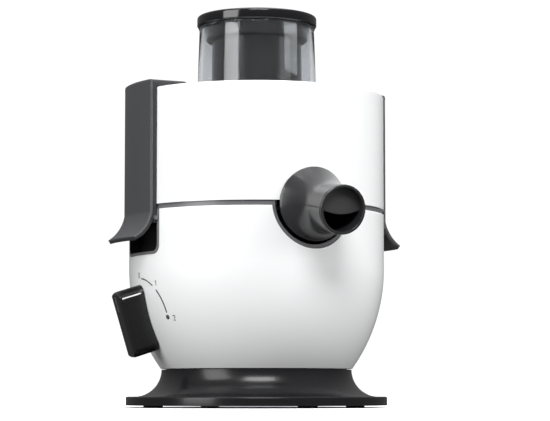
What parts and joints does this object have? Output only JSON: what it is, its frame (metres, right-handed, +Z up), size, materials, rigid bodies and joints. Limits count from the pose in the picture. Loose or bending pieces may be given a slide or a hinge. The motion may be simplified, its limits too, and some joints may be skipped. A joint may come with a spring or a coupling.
{
  "type": "centrifugal juicer",
  "caption": "Upright centrifugal juicer: white drum body on a flared pedestal, swing clamps, clear feed chute with pusher, front spout and side speed knob.",
  "frame": {"origin": "on the body's axis at the table surface that the rubber feet stand on", "axes": "+Z up along the body's axis, -Y towards the spout (front), -X towards the speed knob"},
  "size_m": [0.2856, 0.3002, 0.37],
  "materials": {
    "white_gloss": "high gloss",
    "dark_gloss": "gloss",
    "black_plastic": "fine texture",
    "grey_gloss": "gloss",
    "clamp_grey": "satin",
    "recess_black": "satin",
    "bowl_grey": "satin",
    "smoked_clear": "clear, smoked",
    "rubber_black": "matt",
    "steel": "brushed",
    "zinc_screw": "zinc plated",
    "cast_alloy": "as cast",
    "lamination": "stacked sheet",
    "copper_wire": "enamelled wire",
    "bronze": "sintered",
    "carbon": "matt",
    "board_green": "lacquered",
    "capacitor_yellow": "gloss",
    "plunger_red": "satin"
  },
  "bodies": {
    "base": {"pedestal": "dark_gloss", "bottom_cover": "black_plastic", "rubber_feet": "rubber_black", "cover_screws": "zinc_screw", "housing_screws": "zinc_screw", "cord_gland": "black_plastic", "motor_housing": "white_gloss", "motor_deck": "bowl_grey", "trim_ring": "grey_gloss", "left_clamp_recess": "recess_black", "right_clamp_recess": "recess_black", "left_clamp_pin": "steel", "right_clamp_pin": "steel", "lower_motor_bracket": "cast_alloy", "upper_motor_bracket": "cast_alloy", "stator_core": "lamination", "field_coils": "copper_wire", "motor_bolts": "zinc_screw", "motor_dampers": "rubber_black", "lower_bearing": "bronze", "upper_bearing": "bronze", "brush_holders": "bronze", "carbon_brushes": "carbon", "shaft_seal": "rubber_black", "speed_switch": "black_plastic", "control_board": "board_green", "suppressor_capacitor": "capacitor_yellow", "interlock_switch": "black_plastic", "juice_bowl": "bowl_grey", "spout": "grey_gloss", "pulp_container": "bowl_grey", "lid_cover": "white_gloss", "lid_seal": "rubber_black", "feed_chute": "smoked_clear"},
    "rotor": {"motor_shaft": "steel", "armature_core": "lamination", "armature_winding": "copper_wire", "commutator": "copper_wire", "cooling_fan": "black_plastic", "drive_coupling": "black_plastic", "basket_frame": "bowl_grey", "filter_mesh": "steel", "cutting_disc": "steel"},
    "pusher": {"pusher_stem": "grey_gloss", "pusher_cap": "dark_gloss"},
    "left_clamp": {"left_clamp_arm": "clamp_grey", "left_clamp_cover": "clamp_grey"},
    "right_clamp": {"right_clamp_arm": "clamp_grey", "right_clamp_cover": "clamp_grey"},
    "knob": {"speed_knob": "black_plastic", "knob_spindle": "steel"},
    "interlock": {"interlock_plunger": "plunger_red"}
  },
  "joints": [
    {"name": "rotor_spin", "type": "hinge", "parent": "base", "child": "rotor", "pos_m": [0, 0, 0.15], "axis": [0, 0, 1], "continuous": true},
    {"name": "pusher_slide", "type": "slide", "parent": "base", "child": "pusher", "axis": [0, 0, 1], "range_m": [0, 0.168]},
    {"name": "left_clamp_swing", "type": "hinge", "parent": "base", "child": "left_clamp", "pos_m": [-0.118, 0, 0.172], "axis": [0, -1, 0], "range_deg": [0, 28]},
    {"name": "right_clamp_swing", "type": "hinge", "parent": "base", "child": "right_clamp", "pos_m": [0.118, 0, 0.172], "axis": [0, 1, 0], "range_deg": [0, 28]},
    {"name": "knob_turn", "type": "hinge", "parent": "base", "child": "knob", "pos_m": [-0.11268, 0, 0.082], "axis": [0.9545, 0, 0.2981], "range_deg": [0, 90]},
    {"name": "interlock_press", "type": "slide", "parent": "base", "child": "interlock", "axis": [-1, 0, 0], "range_m": [0, 0.0018]}
  ],
  "couplings": [
    {"joint": "interlock_press", "follows": "right_clamp_swing", "m_per_rad": 0.0036829}
  ]
}
